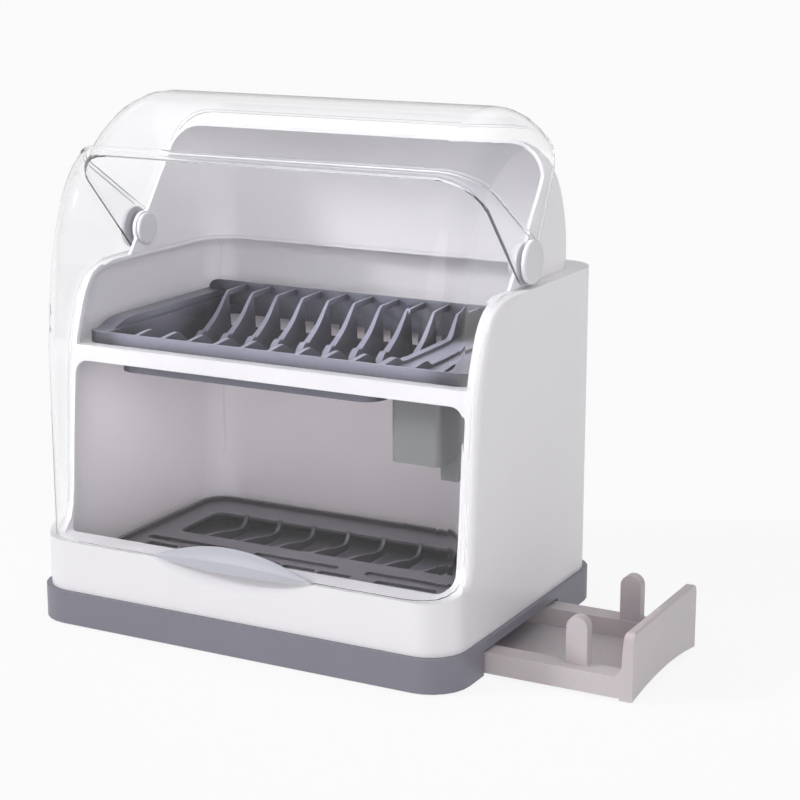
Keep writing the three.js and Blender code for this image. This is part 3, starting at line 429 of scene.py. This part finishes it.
class Workshop:
    """Keeps the frame and the finished materials, and turns pieces over to the right body.

    Attributes:
        plane_turn: Neighbouring faces that turn by fewer degrees than this are one flat face.
        edge_turn: Edges that turn by more degrees than this are edges, and not part of a curve.
        segments: Faces across a rounded edge.
    """

    plane_turn: float = 0.05
    edge_turn: float = 32.0
    segments: int = 2

    def __init__(self, frame: dict[str, Any]) -> None:
        """Remembers the frame and works out where the middle of the base lies.
        """
        self.frame = frame
        low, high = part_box("water_base")
        self.middle = np.array([(low.x + high.x) / 2, (low.y + high.y) / 2, 0.0])
        self.made: dict[str, bpy.types.Material] = {}
        self.smoother = self._smoother()

    def _smoother(self) -> bpy.types.NodeTree:
        """Builds the node group that shades smooth up to a limit angle, and keeps sharper edges.

        Returns:
            The group, with the limit in radians as its second input.
        """
        group = bpy.data.node_groups.new("smooth_by_angle", "GeometryNodeTree")
        group.interface.new_socket("Geometry", in_out="INPUT", socket_type="NodeSocketGeometry")
        group.interface.new_socket("Angle", in_out="INPUT", socket_type="NodeSocketFloat")
        group.interface.new_socket("Geometry", in_out="OUTPUT", socket_type="NodeSocketGeometry")
        start = add_node(group, "NodeGroupInput")
        faces = add_node(
            group, "GeometryNodeSetShadeSmooth", {"domain": "FACE"}, {"Geometry": start.outputs[0]}
        )
        angle = add_node(group, "GeometryNodeInputMeshEdgeAngle")
        sharp = add_node(
            group, "FunctionNodeCompare", {"data_type": "FLOAT", "operation": "GREATER_THAN"},
            {0: angle.outputs[0], 1: start.outputs[1]},
        )
        edges = add_node(
            group, "GeometryNodeSetShadeSmooth", {"domain": "EDGE"},
            {"Geometry": faces.outputs[0], "Selection": sharp.outputs[0], "Shade Smooth": False},
        )
        add_node(group, "NodeGroupOutput", None, {0: edges.outputs[0]})
        return group

    def soften(self, piece: bpy.types.Object, width: float, limit: float = edge_turn) -> None:
        """Rounds the edges of a piece a little and shades it smooth.

        Args:
            piece: Object that gets the modifiers; its mesh stays as it is.
            width: Width of the rounding in millimetres, or 0 for none.
            limit: Edges that turn by more degrees than this are rounded or kept sharp.
        """
        weld = piece.modifiers.new("weld", "WELD")
        weld.merge_threshold = MERGE
        if width:
            flat = piece.modifiers.new("flat", "DECIMATE")
            flat.decimate_type = "DISSOLVE"
            flat.angle_limit = math.radians(self.plane_turn)
            bevel = piece.modifiers.new("edge", "BEVEL")
            bevel.width = width * MM
            bevel.segments = self.segments
            bevel.limit_method = "ANGLE"
            bevel.angle_limit = math.radians(limit)
            bevel.use_clamp_overlap = True
        smooth = piece.modifiers.new("smooth", "NODES")
        smooth.node_group = self.smoother
        smooth["Socket_1"] = math.radians(limit)
        if width:
            even = piece.modifiers.new("even", "WEIGHTED_NORMAL")
            even.keep_sharp = True

    def coat(self, piece: bpy.types.Object, kind: Plastic) -> None:
        """Gives a piece its finish, whose material is made once.

        Args:
            piece: The piece.
            kind: Its finish.
        """
        if kind.name not in self.made:
            self.made[kind.name] = kind.make()
        piece.data.materials.clear()
        piece.data.materials.append(self.made[kind.name])

    def dress(self, name: str, kind: Plastic, width: float = 0.0) -> None:
        """Gives a CAD node its finish and softened edges.

        Args:
            name: Node of the frame.
            kind: Finish of the piece.
            width: Width of the edge rounding in millimetres.
        """
        piece = self.frame["nodes"][name]
        self.coat(piece, kind)
        self.soften(piece, width)
        LOG.info("dressed %s as %s", name, kind.name)

    def piece(self, name: str, places: np.ndarray, faces: list[list[int]]) -> bpy.types.Object:
        """Makes an object from places in millimetres about the middle of the base.

        Args:
            name: Name of the object and its mesh.
            places: Vertices, one row each.
            faces: Corner numbers of each face.

        Returns:
            The new object, at the origin, with its place in its mesh and its faces outwards.
        """
        mesh = bpy.data.meshes.new(name)
        mesh.from_pydata((places * MM + self.middle).tolist(), [], faces)
        work = bmesh.new()
        work.from_mesh(mesh)
        bmesh.ops.recalc_face_normals(work, faces=work.faces)
        work.to_mesh(mesh)
        work.free()
        return stand(name, mesh)

    def twin(self, node: bpy.types.Object, name: str) -> bpy.types.Object:
        """Copies a CAD node's mesh into a new object, with its doubled corners merged.

        Args:
            node: Object of the node, which stays as it is.
            name: Name of the copy.

        Returns:
            The copy.
        """
        mesh = node.data.copy()
        mesh.name = name
        work = bmesh.new()
        work.from_mesh(mesh)
        bmesh.ops.remove_doubles(work, verts=work.verts, dist=MERGE)
        work.to_mesh(mesh)
        work.free()
        return stand(name, mesh)

    def carve(self, piece: bpy.types.Object, tool: bpy.types.Object, kind: Carving) -> None:
        """Carves a piece with a tool, writes the result into its mesh and deletes the tool.

        Args:
            piece: The piece, which must be closed.
            tool: The tool, which must be closed too.
            kind: What the tool does.
        """
        cut = piece.modifiers.new("carve", "BOOLEAN")
        cut.operation = kind.value
        cut.solver = "EXACT"
        cut.object = tool
        view = bpy.context.evaluated_depsgraph_get()
        shape = bpy.data.meshes.new_from_object(piece.evaluated_get(view))
        piece.modifiers.clear()
        piece.data = shape
        shape.name = piece.name
        spare = tool.data
        bpy.data.objects.remove(tool)
        bpy.data.meshes.remove(spare)

    def place(self, piece: bpy.types.Object, body: str, kind: Plastic, *nodes: str) -> None:
        """Hands a new piece to its body and finish.

        Args:
            piece: The new piece.
            body: Body that it moves with.
            kind: Its finish.
            nodes: CAD nodes that it stands for.
        """
        self.coat(piece, kind)
        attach(piece, body)
        if nodes:
            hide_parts(*nodes)
        LOG.info("made %s of %s", piece.name, kind.name)

    def points(self, piece: bpy.types.Object) -> np.ndarray:
        """Reads where a piece's vertices lie.

        Args:
            piece: The piece.

        Returns:
            Places in millimetres about the middle of the base, one row each.
        """
        flat = np.zeros(len(piece.data.vertices) * 3)
        piece.data.vertices.foreach_get("co", flat)
        return (flat.reshape(-1, 3) - self.middle) / MM


@dataclass
class Body:
    """Base, housing, shelf and shell: the pieces that stand still.

    Attributes:
        base_edge, housing_edge, shell_edge: Edge rounding of these pieces.
        feet: Corners that have a foot.
        wall_plane: Outer face of the housing's side wall.
        wall_slack: How far off that face a vertex may lie and still count as on it.
        sill_top: Height above which the wall's front edge starts.
        rim_round: Radius of the rounded outer rim.
        rim_steps: Stations around that round.
        reach: How far the cutting solid stands past the housing.
        behind: Where the cutting solid ends behind the housing.
    """

    base_edge: float = 0.8
    housing_edge: float = 1.0
    shell_edge: float = 0.8
    feet: tuple[str, ...] = ("front_left", "front_right", "rear_right", "rear_left")
    wall_plane: float = 199.0
    wall_slack: float = 0.05
    sill_top: float = 74.0
    rim_round: float = 7.0
    rim_steps: int = 7
    reach: float = 60.0
    behind: float = 200.0

    def build(self, shop: Workshop) -> None:
        """Dresses the standing pieces.

        Args:
            shop: Workshop that dresses them.
        """
        shop.dress("water_base", BASE_GREY, self.base_edge)
        shop.dress("holder_channel", BASE_GREY)
        self.housing(shop)
        shop.dress("mid_shelf", BODY_WHITE)
        shop.dress("upper_shell", BODY_WHITE, self.shell_edge)
        for corner in self.feet:
            shop.dress(f"base_foot_{corner}", RUBBER)

    def front_edge(self, node: bpy.types.Object, shop: Workshop) -> np.ndarray:
        """Reads the front edge of the housing's side wall, and carries it on at both ends.

        Args:
            node: The housing's CAD node.
            shop: Workshop that reads it.

        Returns:
            The line as y and z: from in front of the sill, up the edge, and on past its upper end.
        """
        place = shop.points(node)
        on_wall = np.abs(place[:, 0] - self.wall_plane) < self.wall_slack
        edge = place[on_wall & (place[:, 1] < 0) & (place[:, 2] > self.sill_top)][:, 1:]
        edge = np.unique(edge.round(3), axis=0)
        edge = edge[np.argsort(edge[:, 1])]
        lean = edge[-1] - edge[-2]
        ahead = edge[0, 0] - self.reach
        return np.vstack([[ahead, edge[0, 1]], edge, edge[-1] + lean * 2 * self.reach / lean[0]])

    def housing(self, shop: Workshop) -> None:
        """Makes the housing again with the rounded outer rim of a deep moulding.

        A solid whose side view is the wall's front edge, and whose two ends are quarter rounds, is cut
        with a copy of the housing: at an angle t of the round the station lies R * sin(t) outside the
        start of the round, and the edge lies R * (1 - cos(t)) in.

        Args:
            shop: Workshop that makes the piece.
        """
        node = shop.frame["nodes"]["housing"]
        line = self.front_edge(node, shop)
        turn = np.linspace(0, math.pi / 2, self.rim_steps)
        out = self.wall_plane - self.rim_round * (1 - np.sin(turn))
        inset = self.rim_round * (1 - np.cos(turn))
        out, inset = np.append(out, self.wall_plane + self.reach), np.append(inset, self.rim_round)
        stations = np.concatenate([-out[::-1], out])
        rings = np.array([
            np.vstack([
                [row[0, 0], -self.reach], row, [self.behind, row[-1, 1]], [self.behind, -self.reach],
            ])
            for row in (shift_line(line, depth) for depth in (*inset[::-1], *inset))
        ])
        solid = np.concatenate(
            [np.broadcast_to(stations[:, None, None], (*rings.shape[:2], 1)), rings], axis=2
        )
        piece = shop.twin(node, "housing_moulding")
        shop.carve(piece, shop.piece("rim_cutter", *closed_loft(solid)), Carving.KEEP_INSIDE)
        shop.place(piece, "rack", BODY_WHITE, "housing")
        shop.soften(piece, self.housing_edge)


@dataclass(frozen=True)
class Rim:
    """One straight-cut rim of a clear cover, and the bead moulded along it.

    Attributes:
        name: Name of the bead.
        body: Body that it moves with.
        half: Half width of the cover.
        corner: Radius of the cover's rounded ends.
        radius: Radius of the cover's middle about the pivot.
        foot: Direction from the pivot to the rim's plane, in degrees up from the back.
        way: Side of the eye that the rim lies on, 1 or -1.
        height, width: Height of the bead over the cover, and its width.
        sink: How deep the bead sits in the cover.
        start: Where the bead starts, from the eye's middle along the rim.
        fade: Length over which it rises to its full height.
        least: Share of the height that it starts with.
        round_steps, ear_steps, section_steps: Points around an end, along an ear and across the bead.
    """

    name: str
    body: str
    half: float
    corner: float
    radius: float
    foot: float
    way: int
    height: float = 1.0
    width: float = 4.0
    sink: float = 0.25
    start: float = 13.0
    fade: float = 20.0
    least: float = 0.35
    round_steps: int = 15
    ear_steps: int = 9
    section_steps: int = 9

    def rings(self, pivot: tuple[float, float], eye: float) -> np.ndarray:
        """Sweeps the bead's half-round section along the rim.

        The rim lies in a plane tangent to the eye of the pivot. Along the tangent, a place at radius
        r from the pivot and m inside the plane lies at sqrt(r^2 - (eye - m)^2). Around the cover's
        rounded end the radius falls by corner * (1 - sin t) while the half width falls by
        corner * (1 - cos t). The section is m = width / 2 * (1 - cos u), n = height * sin u - sink.
        The height grows along the ear by s * s * (3 - 2 * s), with s from 0 to 1.

        Args:
            pivot: Place of the pivot across the width, as y and z.
            eye: Radius of the eye.

        Returns:
            Array of ring, point and coordinate.
        """
        low = self.radius - self.corner
        ear_end = math.sqrt(low**2 - eye**2)
        turn = np.linspace(0, math.pi / 2, self.round_steps)
        share = np.append(
            np.linspace(self.start / ear_end, 1, self.ear_steps)[:-1], np.ones(self.round_steps)
        )
        turn = np.append(np.zeros(self.ear_steps - 1), turn)
        share, side = np.append(share, share[::-1]), np.append(np.ones(turn.size), -np.ones(turn.size))
        turn = np.append(turn, turn[::-1])
        round_u = np.linspace(0, math.pi, self.section_steps)
        inward = self.width / 2 * (1 - np.cos(round_u))
        rise = np.clip((share * ear_end - self.start) / self.fade, 0, 1)
        rise = self.least + (1 - self.least) * rise * rise * (3 - 2 * rise)
        out = self.height * np.outer(rise, np.sin(round_u)) - self.sink
        radius = low + self.corner * np.sin(turn)
        along = share[:, None] * np.sqrt(radius[:, None] ** 2 - (eye - inward[None, :]) ** 2)
        along += out * np.sin(turn)[:, None]
        half = self.half - self.corner * (1 - np.cos(turn))[:, None] + out * np.cos(turn)[:, None]
        angle = math.radians(self.foot)
        down = eye - inward[None, :]
        back = pivot[0] + down * math.cos(angle) - self.way * along * math.sin(angle)
        high = pivot[1] + down * math.sin(angle) + self.way * along * math.cos(angle)
        return np.stack([side[:, None] * half, back, high], axis=2)


@dataclass
class Covers:
    """Hood, visor, handle and the pivots that carry them.

    Attributes:
        pivot: Place of the pivot, as y and z.
        eye: Radius of the covers' eyes.
        cover_edge, knob_edge, handle_edge: Edge rounding of these pieces.
        handle_crease: Edges of the handle that turn by more degrees than this stay crisp.
        handle_half, handle_height, handle_reach: Half width, height and depth of the handle.
        handle_drop: How far its lower edge dips at the middle.
        handle_end: Share of the size left at its tips.
        handle_foot, handle_face: Height of its tips, and the visor's face behind it.
        handle_steps: Sections along it.
        handle_section: The section from the top edge round to the foot, as shares of depth and height.
        rims: The rims that carry a bead.
    """

    pivot: tuple[float, float] = (9.0, 321.0)
    eye: float = 20.0
    cover_edge: float = 0.6
    knob_edge: float = 0.4
    handle_edge: float = 0.3
    handle_crease: float = 18.0
    handle_half: float = 76.0
    handle_height: float = 21.0
    handle_reach: float = 9.0
    handle_drop: float = 3.0
    handle_end: float = 0.06
    handle_foot: float = 75.3
    handle_face: float = -144.7
    handle_steps: int = 41
    handle_section: tuple[tuple[float, float], ...] = (
        (0.0, 0.0), (0.0, 1.0), (0.15, 1.0), (0.26, 0.84), (0.44, 0.7), (0.7, 0.585), (1.0, 0.5),
        (0.84, 0.2), (0.7, 0.0),
    )
    rims: tuple[Rim, ...] = (
        Rim("visor_rim", "front_visor", 193.5, 34.0, 127.0, 57.6, 1),
        Rim("hood_front_rim", "middle_hood", 189.5, 36.0, 123.0, 222.6, -1, 0.7),
        Rim("hood_rear_rim", "middle_hood", 189.5, 36.0, 123.0, -25.6, 1, 0.7),
    )

    def handle(self, shop: Workshop) -> None:
        """Makes the lens-shaped handle with its crisp ridge.

        Along the width the size follows 1 - a^2, with a from -1 to 1. Across it the section runs from
        a thin top edge out to a ridge at half height, hollow like a spoon, and then back under.

        Args:
            shop: Workshop that makes the piece.
        """
        along = np.linspace(-1, 1, self.handle_steps)
        share = np.maximum(1 - along * along, self.handle_end)[:, None]
        depth, height = np.array(self.handle_section).T
        low = self.handle_foot - self.handle_drop * share
        rings = np.stack(
            [
                np.broadcast_to(along[:, None] * self.handle_half, (along.size, depth.size)),
                self.handle_face - self.handle_reach * share * depth,
                low + self.handle_height * share * height,
            ],
            axis=2,
        )
        piece = shop.piece("visor_handle_lens", *closed_loft(rings))
        shop.place(piece, "front_visor", PEARL_GREY, "visor_handle")
        shop.soften(piece, self.handle_edge, self.handle_crease)

    def build(self, shop: Workshop) -> None:
        """Dresses the covers and their pivots, makes the handle, and adds the beads along the rims.

        Args:
            shop: Workshop that makes the pieces.
        """
        shop.dress("hood", CLEAR, self.cover_edge)
        shop.dress("visor", CLEAR, self.cover_edge)
        for rim in self.rims:
            bead = shop.piece(rim.name, *closed_loft(rim.rings(self.pivot, self.eye)))
            shop.place(bead, rim.body, CLEAR)
            shop.soften(bead, 0.0)
        self.handle(shop)
        for side in ("left", "right"):
            shop.dress(f"pivot_knob_{side}", PEARL, self.knob_edge)
            shop.dress(f"pivot_pin_{side}", HOLDER_GREY)
            shop.dress(f"inner_cap_{side}", PEARL, self.knob_edge)


@dataclass
class Racks:
    """Upper rack, lower rack and the two holders.

    Attributes:
        rack_edge, cutlery_edge, side_edge: Edge rounding of the racks and of the two holders.
        rib_pitch, first_rib, ribs: Pitch of the deep ribs, place of the first one, and their number.
        half_cut: Half width of the room cut behind a rib.
        behind_blade: From the blade's rear edge to the back wall.
        under_strut: From the foot of the ribs to the underside of the strut.
    """

    rack_edge: float = 0.5
    cutlery_edge: float = 0.4
    side_edge: float = 1.4
    rib_pitch: float = 26.6
    first_rib: float = -139.2
    ribs: int = 9
    half_cut: float = 7.0
    behind_blade: tuple[float, float] = (75.0, 107.0)
    under_strut: tuple[float, float] = (210.5, 253.0)

    def upper(self, shop: Workshop) -> None:
        """Makes the upper rack again, with ribs that stand free of the back wall.

        Each rib is a blade whose rear edge is upright, and only a thin strut along its top reaches
        the back wall, so that the windows of the back wall show between the blades.

        Args:
            shop: Workshop that makes the piece.
        """
        middles = self.first_rib + self.rib_pitch * np.arange(self.ribs)
        (front, back), (foot, top) = self.behind_blade, self.under_strut
        ring = np.array([(front, foot), (back, foot), (back, top), (front, top)])
        sides = middles[:, None] + np.array([-self.half_cut, self.half_cut])
        boxes = np.concatenate(
            [
                np.broadcast_to(sides[:, :, None, None], (self.ribs, 2, 4, 1)),
                np.broadcast_to(ring, (self.ribs, 2, 4, 2)),
            ],
            axis=3,
        )
        piece = shop.twin(shop.frame["nodes"]["upper_rack"], "upper_rack_moulding")
        for box in boxes:
            shop.carve(piece, shop.piece("behind_blade", *closed_loft(box)), Carving.CUT_AWAY)
        shop.place(piece, "plate_rack", RACK_GREY, "upper_rack")
        shop.soften(piece, self.rack_edge)

    def build(self, shop: Workshop) -> None:
        """Makes the upper rack, and dresses the lower rack and the holders.

        Args:
            shop: Workshop that makes and dresses them.
        """
        self.upper(shop)
        shop.dress("lower_rack", RACK_DARK, self.rack_edge)
        shop.dress("cutlery_holder", HOLDER_GREY, self.cutlery_edge)
        shop.dress("side_holder", MILKY, self.side_edge)


def seen_by(tree: bpy.types.NodeTree, *rays: str) -> bpy.types.NodeSocket:
    """Tells whether a ray is of one of the named kinds.

    Args:
        tree: Tree that gets the nodes.
        rays: Kinds of ray, such as "Camera".

    Returns:
        A socket that is 1 for a ray of these kinds, and 0 for the others.
    """
    path = add_node(tree, "ShaderNodeLightPath")
    seen = path.outputs[f"Is {rays[0]} Ray"]
    for ray in rays[1:]:
        either = add_node(
            tree, "ShaderNodeMath", {"operation": "MAXIMUM"}, {0: seen, 1: path.outputs[f"Is {ray} Ray"]}
        )
        seen = either.outputs[0]
    return seen


def by_bounce(tree: bpy.types.NodeTree, straight: float, bounced: float) -> bpy.types.NodeSocket:
    """Gives one value to what is seen straight, and one to light that bounced before.

    Light that leaves a matt surface through a clear cover would else meet the full white backdrop.

    Args:
        tree: Tree that gets the nodes.
        straight: Value for rays that met only clear pieces since the camera.
        bounced: Value for rays that also met a matt surface.

    Returns:
        A socket with the value.
    """
    path = add_node(tree, "ShaderNodeLightPath")
    value = add_node(
        tree, "ShaderNodeMapRange", None,
        {"Value": path.outputs["Diffuse Depth"], "To Min": straight, "To Max": bounced},
    )
    return value.outputs[0]


@dataclass(frozen=True)
class Sun:
    """A far soft lamp: its name, strength, spread in degrees and the way it points."""

    name: str
    strength: float
    spread: float
    aim: tuple[float, float, float]


@dataclass
class Studio:
    """Camera, lamps, world and floor.

    Attributes:
        lens, sensor, far: Focal length, sensor width, and the far end of the camera's view in metres.
        azimuth, elevation, spot: The camera's direction in degrees, and its place.
        suns: The lamps around the rack; none shows as a spot in the gloss.
        inner_size, inner_spot, inner_aim, inner_watts, inner_colour: The strip in the lower tier.
        ambient: Strength of the even light.
        through_covers: The same for light that comes in through the clear covers.
        room_gloss, box_strength: How bright gloss shows the dim room, and the soft box overhead.
        box_start, box_full: How far up a reflection must point to leave the dim room, and to show
            the soft box in full.
        paper, paper_white: Colour of the floor, and the share of plain white that the eye sees in it.
        floor_half, floor_drop: Half the floor's side in metres, and its drop below the feet.
    """

    lens: float = 90.90
    sensor: float = 36.0
    far: float = 500.0
    azimuth: float = 28.1157
    elevation: float = 13.7595
    spot: tuple[float, float, float] = (858.84, -1458.82, 600.05)
    suns: tuple[Sun, ...] = (
        Sun("key", 1.35, 10.0, (0.74, 0.48, -0.44)),
        Sun("fill", 1.15, 50.0, (-0.62, 0.77, -0.12)),
        Sun("top", 0.5, 70.0, (-0.1, 0.1, -1.0)),
    )
    inner_size: tuple[float, float] = (240.0, 40.0)
    inner_spot: tuple[float, float, float] = (-20.0, -45.0, 178.0)
    inner_aim: tuple[float, float, float] = (-0.3, 1.0, -0.4)
    inner_watts: float = 0.09
    inner_colour: str = "FFF0F4"
    ambient: float = 0.34
    through_covers: float = 0.36
    room_gloss: float = 0.45
    box_strength: float = 2.6
    box_start: float = 0.45
    box_full: float = 0.95
    paper: str = "F4F4F5"
    paper_white: float = 0.88
    floor_half: float = 60.0
    floor_drop: float = 0.2

    def build(self, shop: Workshop) -> None:
        """Makes the camera at the photograph's angle, then the light and the floor.

        Args:
            shop: Workshop that knows where the middle of the base lies.
        """
        self.camera(shop)
        self.world()
        self.lamps()
        self.inner_lamp(shop)
        self.floor()
        bpy.context.scene.view_settings.view_transform = "Standard"

    def camera(self, shop: Workshop) -> None:
        """Sets the camera by its measured place and direction.

        Args:
            shop: Workshop that knows where the middle of the base lies.
        """
        data = bpy.data.cameras.new("camera")
        data.lens = self.lens
        data.sensor_width = self.sensor
        data.clip_end = self.far
        camera = stand("camera", data)
        camera.location = Vector(np.array(self.spot) * MM + shop.middle)
        camera.rotation_euler = (math.radians(90 - self.elevation), 0, math.radians(self.azimuth))
        bpy.context.scene.camera = camera

    def world(self) -> None:
        """Soft even light, plain white behind the rack, and a wide soft box overhead for gloss.

        The gloss rises smoothly with the height of the reflected direction: a dim room near the
        horizon, and the soft box where the direction points up.
        """
        world = bpy.data.worlds.new("studio")
        bpy.context.scene.world = world
        world.use_nodes = True
        tree = world.node_tree
        tree.nodes.clear()
        way = add_node(tree, "ShaderNodeTexCoord").outputs["Generated"]
        up = add_node(tree, "ShaderNodeSeparateXYZ", None, {0: way})
        rise = add_node(
            tree, "ShaderNodeMapRange", {"interpolation_type": "SMOOTHSTEP"},
            {
                "Value": up.outputs["Z"], "From Min": self.box_start, "From Max": self.box_full,
                "To Min": self.room_gloss, "To Max": self.box_strength,
            },
        )
        soft, box, white = (
            add_node(tree, "ShaderNodeBackground", None, {"Color": linear(WHITE), "Strength": strength})
            for strength in (
                self.ambient, rise.outputs[0], by_bounce(tree, 1.0, self.through_covers)
            )
        )
        glossy = add_node(
            tree, "ShaderNodeMixShader", None,
            {0: seen_by(tree, "Glossy"), 1: soft.outputs[0], 2: box.outputs[0]},
        )
        mixed = add_node(
            tree, "ShaderNodeMixShader", None,
            {0: seen_by(tree, "Camera", "Transmission"), 1: glossy.outputs[0], 2: white.outputs[0]},
        )
        add_node(tree, "ShaderNodeOutputWorld", None, {"Surface": mixed.outputs[0]})

    def lamps(self) -> None:
        """Makes the far lamps: a key from the front left, a fill from the front right, one above."""
        for sun in self.suns:
            data = bpy.data.lights.new(sun.name, "SUN")
            data.energy = sun.strength
            data.angle = math.radians(sun.spread)
            lamp = stand(sun.name, data)
            lamp.rotation_euler = Vector(sun.aim).to_track_quat("-Z", "Y").to_euler()
            lamp.visible_glossy = False

    def inner_lamp(self, shop: Workshop) -> None:
        """Makes a weak warm strip in the lower tier: the light that the room sends in under the shelf.

        Args:
            shop: Workshop that knows where the middle of the base lies.
        """
        data = bpy.data.lights.new("inner", "AREA")
        data.shape = "RECTANGLE"
        data.size, data.size_y = (side * MM for side in self.inner_size)
        data.energy = self.inner_watts
        data.color = linear(self.inner_colour)[:3]
        lamp = stand("inner", data)
        lamp.location = Vector(np.array(self.inner_spot) * MM + shop.middle)
        lamp.rotation_euler = Vector(self.inner_aim).to_track_quat("-Z", "Y").to_euler()
        lamp.visible_camera = lamp.visible_glossy = lamp.visible_transmission = False

    def floor(self) -> None:
        """A plain pale floor: near white to the eye, and it keeps the rack's shadow."""
        half = self.floor_half
        mesh = bpy.data.meshes.new("floor")
        square = [(-half, -half, 0), (half, -half, 0), (half, half, 0), (-half, half, 0)]
        mesh.from_pydata(square, [], [(0, 1, 2, 3)])
        floor = stand("floor", mesh)
        floor.location = (0, 0, -self.floor_drop * MM)
        material, tree = blank_material("paper")
        share = add_node(
            tree, "ShaderNodeMath", {"operation": "MULTIPLY"},
            {
                0: seen_by(tree, "Camera", "Transmission", "Glossy"),
                1: by_bounce(tree, self.paper_white, 0.0),
            },
        )
        paper = add_node(tree, "ShaderNodeBsdfDiffuse", None, {"Color": linear(self.paper)})
        glow = add_node(tree, "ShaderNodeEmission", None, {"Color": linear(WHITE), "Strength": 1.0})
        mixed = add_node(
            tree, "ShaderNodeMixShader", None,
            {0: share.outputs[0], 1: paper.outputs[0], 2: glow.outputs[0]},
        )
        add_node(tree, "ShaderNodeOutputMaterial", None, {"Surface": mixed.outputs[0]})
        mesh.materials.append(material)


def main() -> None:
    """Builds the whole rack and its studio, and logs each piece as it is made."""
    logging.basicConfig(level=logging.INFO, format="%(message)s")
    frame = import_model()
    shop = Workshop(frame)
    for assembly in (Body(), Covers(), Racks(), Studio()):
        assembly.build(shop)


if __name__ == "__main__":
    main()
